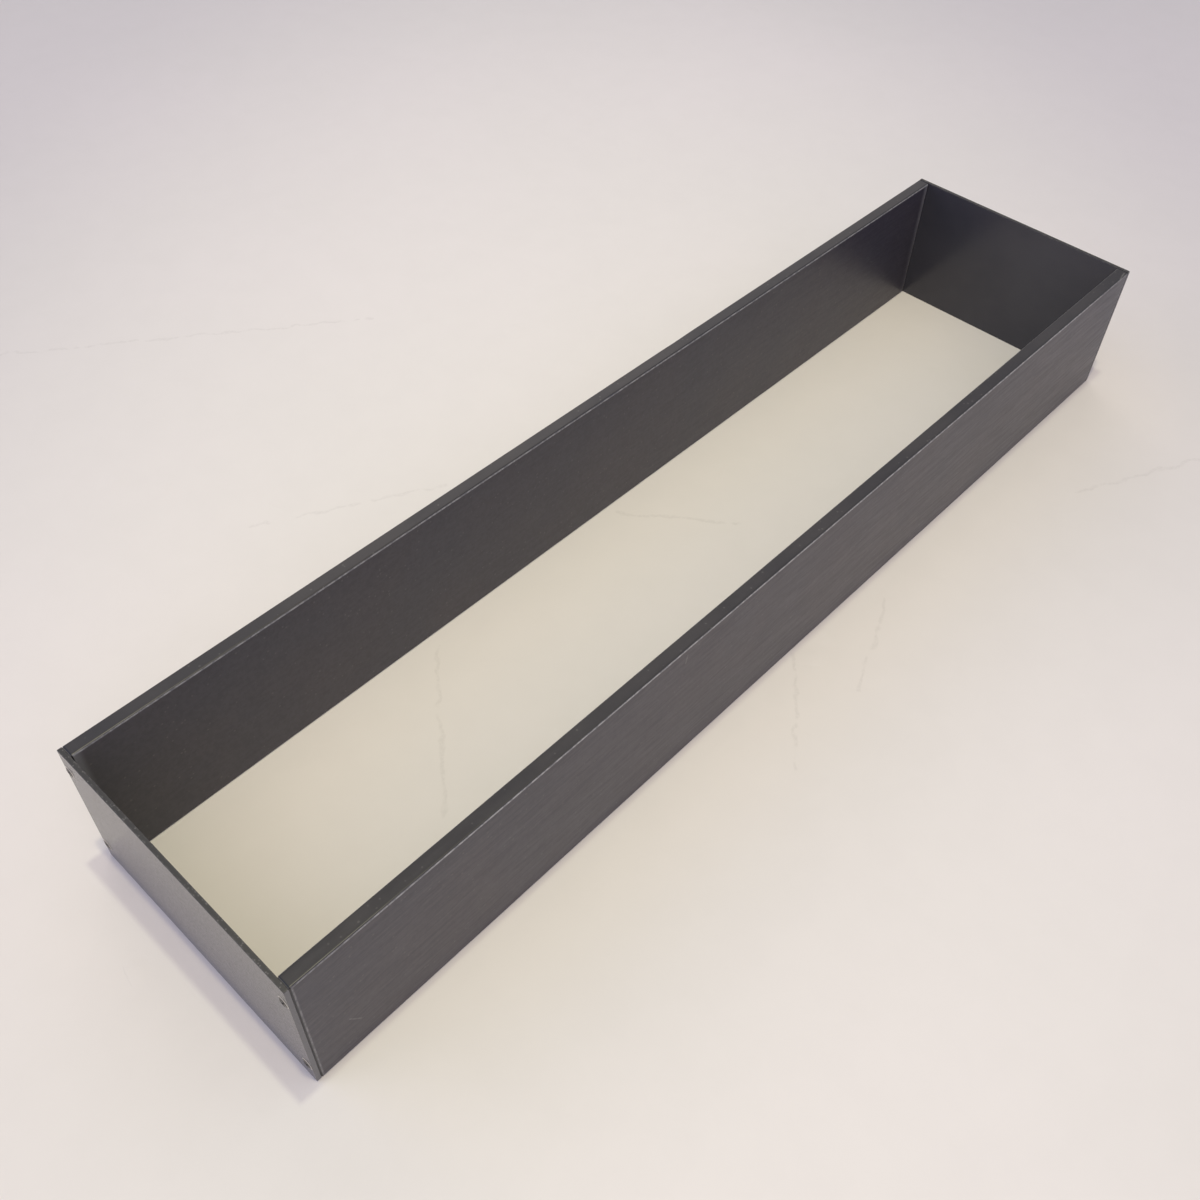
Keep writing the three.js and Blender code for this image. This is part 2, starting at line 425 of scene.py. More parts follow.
def grained_foil():
    """Dark anthracite foil with fine grain along the panel, wear and painted highlight on the eased
    edges, and painted light and shade.
    """
    finish, tree, surface = new_finish("Grained panel foil")
    middle, half = middle_and_half("side_panel_right")
    grain = apply_effect(tree, long_grain, **COARSE_GRAIN)
    fine = apply_effect(tree, long_grain, **FINE_GRAIN)
    near = apply_effect(tree, edge_nearness, Middle=middle, Half_Size=half, Reach=TOP_RIM_REACH)
    dust = apply_effect(tree, specks, Size=FOIL_DUST_SIZE, Share=FOIL_DUST_AMOUNT)
    spot, facing = parts_of(tree, where(tree)), facing_parts(tree)
    on_top = ramp(tree, reckon(tree, "ABSOLUTE", facing["Z"]), *FLAT_BAND)
    not_top = minus(tree, 1.0, on_top)
    outward = times(tree, spot["Y"], facing["Y"])
    outer = ramp(tree, outward, 0.0, FOIL_OUTER_REACH, FOIL_INNER_SHARE, 1.0)
    from_top = minus(tree, middle[2] + half[2], spot["Z"])
    from_end = minus(tree, half[0], reckon(tree, "ABSOLUTE", spot["X"]))

    fibre = times(tree, ramp(tree, grain["Fibre"], *FIBRE_BAND, -0.5, 0.5), outer)
    base = tint(tree, plus(tree, 0.5, fibre), FOIL_DARK, FOIL_LIGHT)
    base = blotched(tree, base, FOIL_CLOUD_TONE, ramp(tree, grain["Cloud"], *CLOUD_BAND))
    base = blotched(tree, base, FOIL_SMUDGE_TONE, ramp(tree, fine["Cloud"], *EVEN_BAND))
    mottle = cloudy(tree, where(tree), *FOIL_MOTTLE_NOISE)
    base = blotched(tree, base, FOIL_MOTTLE_TONE, ramp(tree, mottle, *EVEN_BAND))
    # Painted light and shade: outer faces lighter, inner faces darker and bluer.
    base = tint(tree, outer, toned(tree, base, FOIL_INNER_SHADE_TONE), toned(tree, base, FOIL_OUTER_LIGHT_TONE))
    light = ramp(tree, fine["Fibre"], *LIGHT_STREAK_BAND, 0.0, LIGHT_STREAK_SHARE)
    dark = ramp(tree, fine["Fibre"], *DARK_STREAK_BAND, DARK_STREAK_SHARE, 0.0)
    base = coated(tree, base, LIGHT_STREAK, times(tree, outer, light))
    base = coated(tree, base, DARK_STREAK, times(tree, outer, dark))
    base = coated(tree, base, PORE_COLOUR, grain["Pore"], PORE_SHARE)
    # Painted shade: the top and bottom faces are darker, and darkest at the rim.
    top_shade_tone = tint(tree, ramp(tree, grain["Cloud"], *TOP_BAND), TOP_SHADE_DARK, TOP_SHADE_LIGHT)
    base = coated(tree, base, top_shade_tone, on_top, TOP_SHADE_SHARE)
    rim = times(tree, on_top, ramp(tree, near["Nearness"], *TOP_RIM_BAND))
    base = coated(tree, base, TOP_RIM_SHADE, rim, TOP_RIM_SHARE)

    # Wear and painted highlight along the eased edges, paler on the outer faces and fainter near
    # the outer ends.
    chips = cloudy(tree, where(tree), *CHIP_NOISE)
    chipped = ramp(tree, chips, *CHIP_BAND, *CHIP_RANGE)
    wear_and_highlight_top = ramp(tree, from_top, *WEAR_AND_HIGHLIGHT_TOP_BAND, 1.0, 0.0)
    wear_and_highlight_top = times(tree, wear_and_highlight_top, ramp(tree, facing["Z"], *WEAR_AND_HIGHLIGHT_SLOPE_BAND, 1.0, 0.0))
    faint_end = times(tree, outer, ramp(tree, from_end, 0.0, FAINT_END_REACH, FAINT_END_SHARE, 0.0))
    wear_and_highlight_top = times(tree, wear_and_highlight_top, minus(tree, 1.0, faint_end))
    wear_and_highlight_end = times(tree, ramp(tree, from_end, *WEAR_AND_HIGHLIGHT_END_BAND, WEAR_AND_HIGHLIGHT_END_SHARE, 0.0), not_top)
    wear_and_highlight = times(tree, reckon(tree, "MAXIMUM", wear_and_highlight_top, wear_and_highlight_end), chipped)
    base = coated(tree, base, tint(tree, outer, WEAR_AND_HIGHLIGHT_INNER, WEAR_AND_HIGHLIGHT_OUTER), wear_and_highlight)
    # Painted highlight: a paler band down the inner face near each end, stronger higher up.
    pale_highlight = ramp(tree, from_end, *PALE_END_BAND, 1.0, 0.0)
    pale_highlight = times(tree, pale_highlight, ramp(tree, outer, *PALE_END_INNER_BAND, 1.0, 0.0))
    pale_highlight = times(tree, pale_highlight, not_top)
    pale_highlight = times(tree, pale_highlight, ramp(tree, spot["Z"], *PALE_END_HEIGHTS, *PALE_END_SHARES))
    base = coated(tree, base, PALE_END_HIGHLIGHT, pale_highlight)
    # Painted shade in the joint with the plate, with a lighter rim right at the end.
    base = coated(tree, base, JOINT_SHADE, ramp(tree, from_end, *JOINT_BAND, 1.0, 0.0))
    base = coated(tree, base, JOINT_RIM, ramp(tree, from_end, *JOINT_RIM_BAND, 1.0, 0.0))
    for start, end in RUBS:
        rub = apply_effect(tree, rub_mark, From=start, To=end, Width=RUB_WIDTH, Wander=RUB_WANDER)
        base = coated(tree, base, RUB_COLOUR, rub["Mark"], RUB_SHARE)
    base = coated(tree, base, FOIL_DUST, dust["Speck"], FOIL_DUST_SHARE)
    feed(tree, surface.inputs["Base Color"], base)

    sheen = ramp(tree, grain["Fibre"], *SHEEN_BAND, *FOIL_ROUGHNESS)
    sheen = plus(tree, sheen, times(tree, on_top, TOP_ROUGHNESS_CHANGE))
    feed(tree, surface.inputs["Roughness"], sheen)
    relief = ramp(tree, outer, FOIL_INNER_SHARE, 1.0, FOIL_INNER_RELIEF, 1.0)
    raise_height(tree, surface, times(tree, grain["Fibre"], relief), FOIL_RELIEF)
    return finish


# Finish of the end plates

PAINT_DARK, PAINT_LIGHT = (0.043, 0.041, 0.0455, 1), (0.052, 0.050, 0.0525, 1)
PAINT_CLOUD_NOISE, PAINT_CLOUD_BAND = (38.0, 3.0, 0.55), (0.3, 0.7)
# Painted cool shade: the inner faces are darker and bluer.
PAINT_INNER_SHADE_TONE, PAINT_INNER_BAND = (0.88, 0.89, 1.05, 1), (-0.15, 0.0)
GRIT_SIZE, GRIT_AMOUNT = 0.0007, 0.34
GRIT_COLOUR, GRIT_SHARE = (0.085, 0.083, 0.082, 1), 0.04
CUT_BAND, UPWARD_BAND = (0.2, 0.6), (0.4, 0.9)
# The cut edge: lighter on its sides, painted light, and darker on top, painted shade.
CUT_SIDE_LIT, CUT_TOP_SHADED = (0.160, 0.156, 0.156, 1), (0.036, 0.0345, 0.0345, 1)
CUT_GRIT_SIDE_LIT, CUT_GRIT_TOP_SHADED = (0.21, 0.205, 0.20, 1), (0.15, 0.145, 0.142, 1)
CUT_GRIT_SHARE = 0.7
# Wear and painted highlight at the edges, broken up in chips.
PAINT_EDGE_REACH, PAINT_EDGE_BAND = 0.0009, (0.5, 0.8)
PAINT_CHIP_NOISE, PAINT_CHIP_BAND = (700.0, 3.0, 0.7), (0.45, 0.7)
PAINT_WEAR_AND_HIGHLIGHT, PAINT_WEAR_AND_HIGHLIGHT_SHARE = (0.15, 0.145, 0.14, 1), 0.35
PEEL_NOISE, PEEL_RELIEF_SHARE = (1500.0, 2.0, 0.5), 0.3
PAINT_ROUGHNESS, CUT_ROUGHNESS_CHANGE, PAINT_RELIEF = (0.19, 0.25), 0.25, 0.000012


def painted_sheet():
    """Satin dark paint on steel sheet, with a finely pitted cut edge, and painted light and shade.
    """
    finish, tree, surface = new_finish("Painted end plate")
    middle, half = middle_and_half("end_plate_front")
    near = apply_effect(tree, edge_nearness, Middle=middle, Half_Size=half, Reach=PAINT_EDGE_REACH)
    grit = apply_effect(tree, specks, Size=GRIT_SIZE, Share=GRIT_AMOUNT)["Speck"]
    spot, facing = parts_of(tree, where(tree)), facing_parts(tree)
    cut = ramp(tree, reckon(tree, "ABSOLUTE", facing["X"]), *CUT_BAND, 1.0, 0.0)
    upward = ramp(tree, facing["Z"], *UPWARD_BAND)
    inner = ramp(tree, times(tree, spot["X"], facing["X"]), *PAINT_INNER_BAND, 1.0, 0.0)
    cloud = cloudy(tree, where(tree), *PAINT_CLOUD_NOISE)
    peel = cloudy(tree, where(tree), *PEEL_NOISE)

    base = tint(tree, ramp(tree, cloud, *PAINT_CLOUD_BAND), PAINT_DARK, PAINT_LIGHT)
    base = coated(tree, base, GRIT_COLOUR, grit, GRIT_SHARE)
    # Painted cool shade on the inner faces.
    base = blotched(tree, base, PAINT_INNER_SHADE_TONE, inner)
    # Cut edge with painted light on its sides and painted shade on top.
    base = coated(tree, base, tint(tree, upward, CUT_SIDE_LIT, CUT_TOP_SHADED), cut)
    cut_grit = times(tree, cut, times(tree, grit, CUT_GRIT_SHARE))
    base = coated(tree, base, tint(tree, upward, CUT_GRIT_SIDE_LIT, CUT_GRIT_TOP_SHADED), cut_grit)
    # Wear and painted highlight along the edges.
    chips = ramp(tree, cloudy(tree, where(tree), *PAINT_CHIP_NOISE), *PAINT_CHIP_BAND)
    wear_and_highlight = times(tree, ramp(tree, near["Nearness"], *PAINT_EDGE_BAND), chips)
    base = coated(tree, base, PAINT_WEAR_AND_HIGHLIGHT, wear_and_highlight, PAINT_WEAR_AND_HIGHLIGHT_SHARE)
    feed(tree, surface.inputs["Base Color"], base)

    sheen = ramp(tree, peel, *SHEEN_BAND, *PAINT_ROUGHNESS)
    sheen = plus(tree, sheen, times(tree, cut, CUT_ROUGHNESS_CHANGE))
    feed(tree, surface.inputs["Roughness"], sheen)
    height = plus(tree, times(tree, peel, PEEL_RELIEF_SHARE), times(tree, cut, grit))
    raise_height(tree, surface, height, PAINT_RELIEF)
    return finish


# Finish of the screws

PLATING_DARK, PLATING_LIGHT = (0.070, 0.068, 0.066, 1), (0.100, 0.097, 0.094, 1)
PLATING_NOISE, PLATING_BAND, PLATING_ROUGHNESS = (900.0, 3.0, 0.6), (0.3, 0.7), (0.24, 0.38)
# Painted shade in the recess.
RECESS_SHADE, RECESS_SHADE_SHARE, RECESS_SHADE_ROUGHNESS_CHANGE = (0.015, 0.014, 0.014, 1), 0.95, 0.5
RECESS_SHADE_RADII, RECESS_SHADE_HEIGHTS = (0.0006, 0.0013), (0.0, 0.00035)
# A painted highlight ring on the dome, and painted shade in a ring round the head's edge.
RING_HIGHLIGHT, RING_HIGHLIGHT_BAND = (0.60, 0.58, 0.56, 1), (0.00172, 0.00190)
RING_SHADE, RING_SHADE_BAND = (0.02, 0.019, 0.019, 1), (0.00206, 0.00218)
SCREW_DUST, SCREW_DUST_SHARE = (0.2, 0.19, 0.18, 1), 0.3
SCREW_DUST_SIZE, SCREW_DUST_AMOUNT = 0.0005, 0.08
TURNING_PITCH, TURNING_WAVER, TURNING_WAVER_SCALE = 42000.0, 3.0, 1400.0
TURNING_SHARE, TURNING_RELIEF = 0.5, 0.000006


def screw_metal():
    """Black-zinc-plated steel with fine turning rings, painted shade in the recess, and painted
    highlight and shade rings on the head.
    """
    finish, tree, surface = new_finish("Plated screw")
    local = place(tree, "ShaderNodeAttribute", attribute_name="screw_place").outputs["Vector"]
    spot = parts_of(tree, local)
    radius = vectors(tree, "LENGTH", from_parts(tree, y=spot["Y"], z=spot["Z"]))
    waver = times(tree, cloudy(tree, local, TURNING_WAVER_SCALE), TURNING_WAVER)
    rings = reckon(tree, "SINE", plus(tree, times(tree, radius, TURNING_PITCH), waver))
    # Painted shade in the recess.
    central = ramp(tree, radius, *RECESS_SHADE_RADII, 1.0, 0.0)
    recess_shade = times(tree, central, ramp(tree, spot["X"], *RECESS_SHADE_HEIGHTS, 1.0, 0.0))
    cloud = cloudy(tree, local, *PLATING_NOISE)
    dust = apply_effect(tree, specks, Size=SCREW_DUST_SIZE, Share=SCREW_DUST_AMOUNT)["Speck"]

    base = tint(tree, ramp(tree, cloud, *PLATING_BAND), PLATING_DARK, PLATING_LIGHT)
    base = coated(tree, base, RECESS_SHADE, recess_shade, RECESS_SHADE_SHARE)
    # Painted highlight ring on the dome, then painted shade round the head's edge.
    base = coated(tree, base, RING_HIGHLIGHT, ramp(tree, radius, *RING_HIGHLIGHT_BAND))
    base = coated(tree, base, RING_SHADE, ramp(tree, radius, *RING_SHADE_BAND))
    base = coated(tree, base, SCREW_DUST, dust, SCREW_DUST_SHARE)
    feed(tree, surface.inputs["Base Color"], base)
    feed(tree, surface.inputs["Metallic"], minus(tree, 1.0, recess_shade))
    sheen = ramp(tree, cloud, *PLATING_BAND, *PLATING_ROUGHNESS)
    sheen = plus(tree, sheen, times(tree, recess_shade, RECESS_SHADE_ROUGHNESS_CHANGE))
    feed(tree, surface.inputs["Roughness"], sheen)
    raise_height(tree, surface, times(tree, rings, TURNING_SHARE), TURNING_RELIEF)
    return finish


# Finish of the floor

FLOOR_DARK, FLOOR_LIGHT = (0.780, 0.747, 0.715, 1), (0.807, 0.763, 0.742, 1)
FLOOR_CLOUD_NOISE, FLOOR_CLOUD_BAND = (3.2, 3.0, 0.5), (0.3, 0.7)
FLOOR_FINE_NOISE, FLOOR_FINE_BAND = (60.0, 4.0, 0.6), (0.3, 0.75)
FLOOR_FINE_TONE = (0.985, 0.985, 0.985, 1)
# Faint darker lines across the floor, each from a start point to an end point.
FLOOR_LINES = [
    ((-0.110, 0.296, 0), (0.020, 0.204, 0)),
    ((-0.097, 0.134, 0), (-0.030, 0.099, 0)),
    ((0.006, 0.041, 0), (0.035, 0.002, 0)),
    ((-0.087, 0.041, 0), (-0.132, -0.014, 0)),
    ((-0.002, -0.052, 0), (-0.040, -0.082, 0)),
    ((0.042, -0.060, 0), (0.001, -0.078, 0)),
    ((0.143, -0.082, 0), (0.198, -0.109, 0)),
]
FLOOR_LINE_COLOUR, FLOOR_LINE_SHARE = (0.35, 0.32, 0.30, 1), 0.13
FLOOR_LINE_WIDTH, FLOOR_LINE_WANDER = 0.0011, 0.006
FLOOR_DUST_SIZE, FLOOR_DUST_AMOUNT = 0.012, 0.03
FLOOR_ROUGHNESS, FLOOR_RELIEF = (0.62, 0.72), 0.0001
# Painted shade: the floor darkens where the light falls off.
# The floor darkens away from an oval. The shift takes the oval's middle to the origin, and each
# axis is a direction divided by the oval's half length in it.
OVAL_SHIFT = (0.0918, 0.0345, 0.0)
OVAL_LONG_AXIS, OVAL_SHORT_AXIS = (0.789, 0.699, 0.0), (1.455, -1.641, 0.0)
OVAL_BAND, OVAL_SHADE_TONE = (-0.2, 0.8), (0.7395, 0.7364, 0.7942, 1)


def pale_floor():
    """Pale studio floor with faint dark lines, a few specks, and painted shade away from an oval.
    """
    finish, tree, surface = new_finish("Pale studio floor")
    cloud = cloudy(tree, where(tree), *FLOOR_CLOUD_NOISE)
    fine = cloudy(tree, where(tree), *FLOOR_FINE_NOISE)
    dust = apply_effect(tree, specks, Size=FLOOR_DUST_SIZE, Share=FLOOR_DUST_AMOUNT)["Speck"]
    base = tint(tree, ramp(tree, cloud, *FLOOR_CLOUD_BAND), FLOOR_DARK, FLOOR_LIGHT)
    base = blotched(tree, base, FLOOR_FINE_TONE, ramp(tree, fine, *FLOOR_FINE_BAND))
    for start, end in FLOOR_LINES:
        floor_line = apply_effect(
            tree, rub_mark, From=start, To=end, Width=FLOOR_LINE_WIDTH, Wander=FLOOR_LINE_WANDER)
        base = coated(tree, base, FLOOR_LINE_COLOUR, floor_line["Mark"], FLOOR_LINE_SHARE)
    from_middle = vectors(tree, "ADD", where(tree), OVAL_SHIFT)
    along = vectors(tree, "DOT_PRODUCT", from_middle, OVAL_LONG_AXIS)
    across = vectors(tree, "DOT_PRODUCT", from_middle, OVAL_SHORT_AXIS)
    away = plus(tree, times(tree, along, along), times(tree, across, across))
    # Painted shade away from the oval.
    base = blotched(tree, base, OVAL_SHADE_TONE, ramp(tree, away, *OVAL_BAND))
    feed(tree, surface.inputs["Base Color"], base)
    sheen = ramp(tree, cloud, *FLOOR_CLOUD_BAND, *FLOOR_ROUGHNESS)
    feed(tree, surface.inputs["Roughness"], sheen)
    raise_height(tree, surface, plus(tree, fine, dust), FLOOR_RELIEF)
    return finish


# Pieces

def add_object(name, data):
    made = bpy.data.objects.new(name, data)
    bpy.context.scene.collection.objects.link(made)
    return made


def mesh_from(name, bm):
    mesh = bpy.data.meshes.new(name)
    bm.to_mesh(mesh)
    bm.free()
    return mesh


def mesh_piece(name, bm, finish):
    bmesh.ops.remove_doubles(bm, verts=bm.verts, dist=WELD_DISTANCE)
    bmesh.ops.recalc_face_normals(bm, faces=bm.faces)
    piece = add_object(name, mesh_from(name, bm))
    piece.data.materials.append(finish)
    return piece


def soften(mesh, angle):
    """Smooth faces, with a crisp line wherever two faces meet at more than the angle."""
    bm = bmesh.new()
    bm.from_mesh(mesh)
    for face in bm.faces:
        face.smooth = True
    for edge in bm.edges:
        edge.smooth = edge.is_manifold and edge.calc_face_angle(0.0) < angle
    bm.to_mesh(mesh)
    bm.free()


def keep_result(piece):
    """Makes the outcome of the piece's modifiers its own mesh."""
    bpy.context.view_layer.update()
    evaluated = piece.evaluated_get(bpy.context.evaluated_depsgraph_get())
    mesh = bpy.data.meshes.new_from_object(evaluated)
    piece.modifiers.clear()
    old = piece.data
    piece.data = mesh
    mesh.name = piece.name
    bpy.data.meshes.remove(old)


def cut_out(piece, cutter):
    """Takes the cutter's shape out of the piece, for good."""
    taken = piece.modifiers.new("holes", "BOOLEAN")
    taken.operation = "DIFFERENCE"
    taken.solver = "EXACT"
    taken.object = cutter
    keep_result(piece)
    bpy.data.objects.remove(cutter)
    mesh = piece.data
    while len(mesh.materials) > 1:
        mesh.materials.pop()
    for face in mesh.polygons:
        face.material_index = 0


def even_flats(piece, angle):
    """Smooths the rounded edges, and keeps the wide flats beside them truly flat."""
    soften(piece.data, angle)
    weighted = piece.modifiers.new("flats", "WEIGHTED_NORMAL")
    weighted.mode = "FACE_AREA"
    weighted.weight = FLAT_FACE_WEIGHT
    weighted.keep_sharp = True
    keep_result(piece)


def bridge(bm, rings):
    """Faces between each ring of points and the next, and across the first and last rings."""
    for lower, upper in zip(rings, rings[1:]):
        count = len(lower)
        for i in range(count):
            j = (i + 1) % count
            bm.faces.new([lower[i], lower[j], upper[j], upper[i]])
    bm.faces.new(rings[0])
    bm.faces.new(rings[-1])


def turned_cutter(bm, profile, seat):
    """A closed turned body about an axis along X, whose profile is a list of (along, radius)."""
    rings = []
    for along, radius in profile:
        ring = []
        for k in range(CUTTER_FACETS):
            angle = 2 * math.pi * k / CUTTER_FACETS
            across = radius * math.cos(angle), radius * math.sin(angle)
            ring.append(bm.verts.new(seat[0] + Vector((seat[1] * along, *across))))
        rings.append(ring)
    bridge(bm, rings)


def screw_seats(half_length, panel_y, height):
    for end in (-1, 1):
        for side in (-1, 1):
            for level in (SCREW_FROM_EDGE, height - SCREW_FROM_EDGE):
                yield Vector((end * half_length, side * panel_y, level)), end


def cutter_object(bm):
    bmesh.ops.recalc_face_normals(bm, faces=bm.faces)
    return add_object("cutter", mesh_from("cutter", bm))


def eased_section(half_y, half_z, inset):
    """Points round the panel's section: y, z, and how far outward it faces in y and in z."""
    radius = PANEL_EDGE_RADIUS
    flat_y, flat_z = half_y - radius, half_z - radius
    points = []
    for index, (sy, sz) in enumerate(CORNERS):
        start = index * math.pi / 2
        for k in range(PANEL_EDGE_STEPS + 1):
            angle = start + k / PANEL_EDGE_STEPS * math.pi / 2
            cy, cz = math.cos(angle), math.sin(angle)
            y, z = sy * flat_y + (radius - inset) * cy, sz * flat_z + (radius - inset) * cz
            points.append((y, z, cy, cz))
        ny, nz = CORNERS[(index + 1) % 4]
        rows = PANEL_ROWS_FLAT if index % 2 == 0 else PANEL_ROWS_TALL
        last = points[-1]
        for k in range(1, rows):
            share = k / rows
            y = last[0] + (ny - sy) * flat_y * share
            z = last[1] + (nz - sz) * flat_z * share
            points.append((y, z, last[2], last[3]))
    return points


def stations(half_length):
    """(x, inset) along the panel, rounded over at both ends."""
    radius = PANEL_EDGE_RADIUS
    turn = [k / PANEL_EDGE_STEPS * math.pi / 2 for k in range(PANEL_EDGE_STEPS)]
    first = [(-half_length + radius - radius * math.cos(a), radius * (1 - math.sin(a)))
             for a in turn]
    straight = half_length - radius
    count = round(2 * straight / PANEL_STATION)
    middle = [(-straight + 2 * straight * k / count, 0.0) for k in range(count + 1)]
    last = [(-x, inset) for x, inset in reversed(first)]
    return first + middle + last


def noise_at(place_on_panel, scale, offset):
    return noise.noise(Vector([p * s + o for p, s, o in zip(place_on_panel, scale, offset)]))


def dent(place_on_panel, edge_share):
    """How far a point on an eased edge is knocked in."""
    rough = noise_at(place_on_panel, ROUGH_SCALE, ROUGH_OFFSET)
    knock = noise_at(place_on_panel, KNOCK_SCALE, KNOCK_OFFSET)
    depth = ROUGH_SHARE * abs(rough) + max(0.0, knock - KNOCK_LEAST) * KNOCK_SHARE
    return min(depth, 1.0) * DENT_DEPTH * edge_share


def side_panel(name, finish):
    low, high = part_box(name)
    half = (high - low) / 2
    middle = (high + low) / 2
    bm = bmesh.new()
    rings = []
    for x, inset in stations(half.x):
        ring = []
        for y, z, cy, cz in eased_section(half.y, half.z, inset):
            spot = Vector((x, middle.y + y, middle.z + z))
            edge_share = 4 * (cy * cz) ** 2 if inset == 0 else 0.0
            if edge_share > DENT_LEAST_SHARE:
                spot -= Vector((0, cy, cz)) * dent((x, spot.y, spot.z), edge_share)
            ring.append(bm.verts.new(spot))
        rings.append(ring)
    bridge(bm, rings)
    panel = mesh_piece(name + "_grained", bm, finish)

    bore = SCREW_SHANK_DIAMETER / 2 + SHANK_CLEARANCE
    depth = SCREW_LENGTH + PILOT_OVERRUN
    point = (-depth - bore * DRILL_POINT_SLOPE, DRILL_POINT_RADIUS)
    profile = [point, (-depth, bore), (CUTTER_OVERRUN, bore)]
    plate_low, plate_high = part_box("end_plate_rear")
    thickness = plate_high.x - plate_low.x
    side = 1 if middle.y > 0 else -1
    holes = bmesh.new()
    for seat, end in screw_seats(half.x + thickness, abs(middle.y), high.z - low.z):
        if seat.y * side > 0:
            turned_cutter(holes, profile, (seat, end))
    cut_out(panel, cutter_object(holes))
    even_flats(panel, PANEL_CREASE)
    return panel


def plate_outline(half_y, height, inset):
    radius = PLATE_CORNER_RADIUS - inset
    points = []
    for index, (sy, sz) in enumerate(CORNERS):
        centre_y = sy * (half_y - PLATE_CORNER_RADIUS)
        centre_z = height / 2 + sz * (height / 2 - PLATE_CORNER_RADIUS)
        for k in range(PLATE_CORNER_STEPS + 1):
            angle = (index + k / PLATE_CORNER_STEPS) * math.pi / 2
            y, z = centre_y + radius * math.cos(angle), centre_z + radius * math.sin(angle)
            points.append((y, z))
    return points


def end_plate(name, finish):
    low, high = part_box(name)
    half_y, height = (high.y - low.y) / 2, high.z - low.z
    arris, step = PLATE_ARRIS, PLATE_ARRIS_STEP * PLATE_ARRIS
    levels = [(low.x, arris), (low.x + step, step), (low.x + arris, 0.0)]
    levels += [(high.x - arris, 0.0), (high.x - step, step), (high.x, arris)]
    bm = bmesh.new()
    rings = []
    for x, inset in levels:
        outline = plate_outline(half_y, height, inset)
        rings.append([bm.verts.new((x, y, low.z + z)) for y, z in outline])
    bridge(bm, rings)
    plate = mesh_piece(name + "_painted", bm, finish)

    bore = SCREW_SHANK_DIAMETER / 2 + SHANK_CLEARANCE
    mouth = HEAD_DIAMETER / 2 + HEAD_CLEARANCE
    rim = -HEAD_RIM_HEIGHT
    profile = [(low.x - high.x - CUTTER_OVERRUN, bore), (rim - mouth + bore, bore)]
    profile += [(rim, mouth), (CUTTER_OVERRUN, mouth)]
    panel_low, panel_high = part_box("side_panel_left")
    end = 1 if low.x > 0 else -1
    outer = max(abs(low.x), abs(high.x))
    seats = bmesh.new()
    for seat, facing in screw_seats(outer, (panel_low.y + panel_high.y) / 2, height):
        if facing == end:
            turned_cutter(seats, profile, (seat, end))
    cut_out(plate, cutter_object(seats))
    even_flats(plate, PLATE_CREASE)
    return plate


# Screws

SCREW_SIZES = (
    "Head Diameter", "Dome Height", "Rim Height", "Shank Diameter", "Screw Length", "Tip Length",
    "Recess Span", "Recess Floor Span", "Slot Width", "Recess Depth",
    "Half Length", "Panel Y", "Low Row", "High Row",
)


